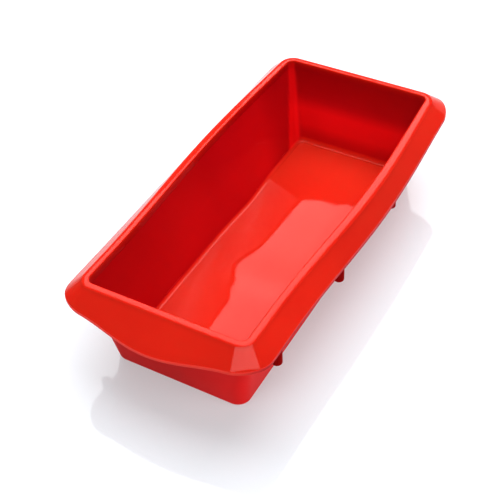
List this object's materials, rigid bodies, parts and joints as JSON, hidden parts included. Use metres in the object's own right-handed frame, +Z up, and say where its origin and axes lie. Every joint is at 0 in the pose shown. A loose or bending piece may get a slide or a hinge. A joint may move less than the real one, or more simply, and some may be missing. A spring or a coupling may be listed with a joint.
{
  "type": "soap loaf mould",
  "caption": "Flexible red silicone loaf mould: tapered open tub, rounded rim, flared skirt with a hand grip at each end and pegs under the long sides.",
  "frame": {"origin": "centre of the flat base, on the surface that the mould stands on", "axes": "+X along the loaf towards the rear end, +Y across it towards the left side, +Z up out of the open mouth"},
  "size_m": [0.282, 0.1352, 0.0623],
  "materials": {
    "silicone_tub": "glossy moulded silicone",
    "silicone_rim": "glossy moulded silicone",
    "silicone_skirt": "glossy moulded silicone",
    "silicone_pegs": "glossy moulded silicone"
  },
  "bodies": {
    "root": {"rim_bead": "silicone_rim", "floor_panel": "silicone_tub", "end_wall_front": "silicone_tub", "end_wall_rear": "silicone_tub", "side_wall_left": "silicone_tub", "side_wall_right": "silicone_tub", "end_grip_front": "silicone_skirt", "end_grip_rear": "silicone_skirt", "side_skirt_left": "silicone_skirt", "side_skirt_right": "silicone_skirt", "peg_left_1": "silicone_pegs", "peg_left_2": "silicone_pegs", "peg_left_3": "silicone_pegs", "peg_left_4": "silicone_pegs", "peg_right_1": "silicone_pegs", "peg_right_2": "silicone_pegs", "peg_right_3": "silicone_pegs", "peg_right_4": "silicone_pegs"}
  },
  "joints": []
}
